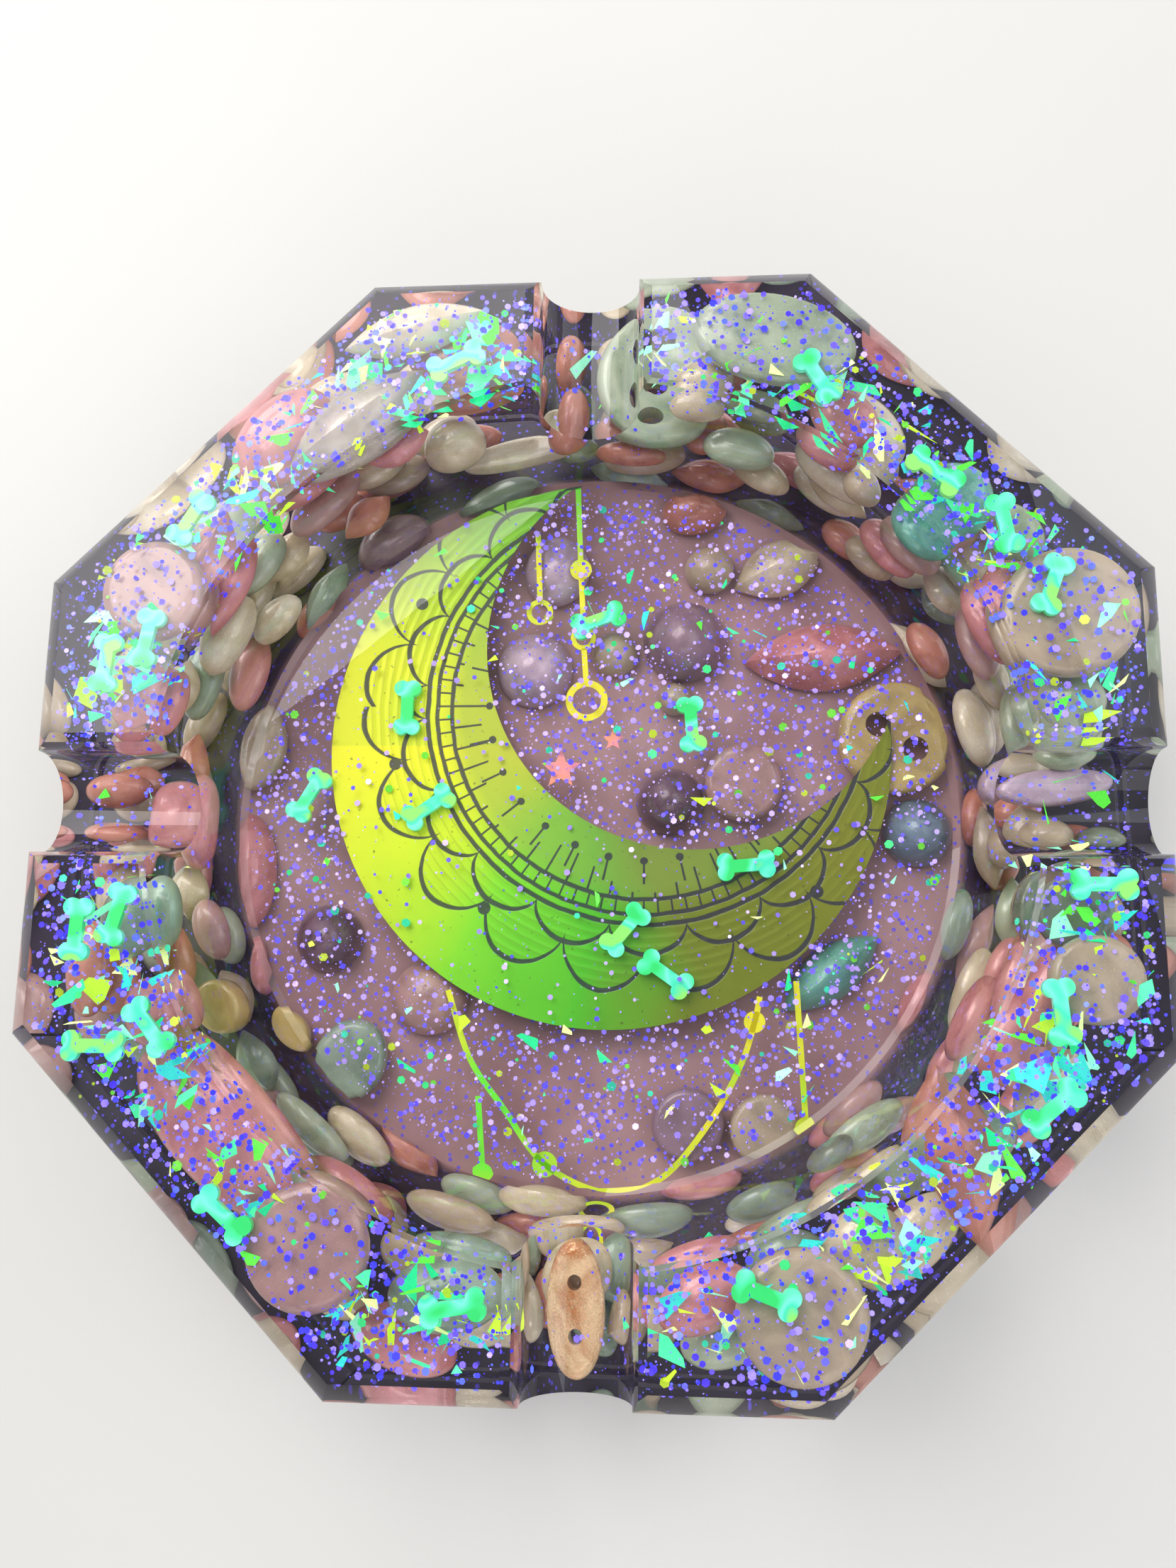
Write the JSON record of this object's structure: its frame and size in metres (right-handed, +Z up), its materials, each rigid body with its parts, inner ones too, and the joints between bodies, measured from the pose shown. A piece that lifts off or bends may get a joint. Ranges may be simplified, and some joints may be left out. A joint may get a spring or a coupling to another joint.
{
  "type": "resin ashtray dish",
  "caption": "Octagonal cast resin dish with a round well and four rim notches; beads, a crescent moon of foil and confetti are sealed in its clear layers.",
  "frame": {"origin": "centre of the underside, where the dish rests", "axes": "+Z up out of the well; the octagon's flats and the notches face X and Y; +Y is the side behind the moon's upper horn"},
  "size_m": [0.12, 0.12, 0.028],
  "materials": {
    "clear_resin": "clear cast resin, high gloss, with fine violet and green glitter in it",
    "pink_pearl": "dusty pink pearlescent gloss",
    "cream_pearl": "cream pearlescent gloss",
    "beige_pearl": "beige satin pearl",
    "sage_pearl": "sage green-grey pearl",
    "mauve_pearl": "mauve-grey pearl",
    "tan_pearl": "tan-gold pearl",
    "gold_foil": "iridescent gold-to-green foil with dark engraved lines",
    "bone_pearl": "pale pearl confetti"
  },
  "bodies": {
    "root": {"back_left_pour": "clear_resin", "back_right_pour": "clear_resin", "base_pour": "clear_resin", "beige_disc": "beige_pearl", "blue_half_pearl": "mauve_pearl", "blush_disc": "pink_pearl", "bone_confetti": "bone_pearl", "bronze_half_pearl": "mauve_pearl", "brown_half_pearl": "tan_pearl", "celadon_oval": "sage_pearl", "cream_disc": "cream_pearl", "cream_marquise": "cream_pearl", "cream_ovals": "cream_pearl", "drop_chains": "gold_foil", "flat_oval": "cream_pearl", "floor_pour": "clear_resin", "front_left_pour": "clear_resin", "front_pendant": "gold_foil", "front_right_pour": "clear_resin", "frosted_cabochon": "mauve_pearl", "green_marquise": "sage_pearl", "grey_oval": "mauve_pearl", "ivory_marquise": "cream_pearl", "ivory_pebble": "cream_pearl", "lavender_oval": "mauve_pearl", "left_chain": "gold_foil", "long_pink_oval": "pink_pearl", "marbled_cabochon": "pink_pearl", "mauve_disc": "mauve_pearl", "mauve_half_pearl": "mauve_pearl", "moon_foil": "gold_foil", "moss_pebbles": "sage_pearl", "olive_disc": "sage_pearl", "olive_marquise": "sage_pearl", "pale_button": "sage_pearl", "pebble_ovals": "pink_pearl", "pink_barrel": "pink_pearl", "pink_marquise": "pink_pearl", "pink_ovals": "pink_pearl", "pink_spindle": "pink_pearl", "right_chain": "gold_foil", "ring_pour": "clear_resin", "rose_disc": "pink_pearl", "rose_marquise": "pink_pearl", "rose_pebble": "pink_pearl", "sage_disc": "sage_pearl", "sage_ovals": "sage_pearl", "salmon_oval": "pink_pearl", "sand_disc": "beige_pearl", "sea_green_oval": "sage_pearl", "shell_button": "tan_pearl", "silver_marquise": "beige_pearl", "small_beads": "beige_pearl", "star_confetti": "tan_pearl", "stone_disc": "beige_pearl", "swag_chain": "gold_foil", "tan_button": "tan_pearl", "tan_discs": "tan_pearl", "violet_cabochon": "mauve_pearl", "wall_ovals": "pink_pearl"}
  },
  "joints": []
}
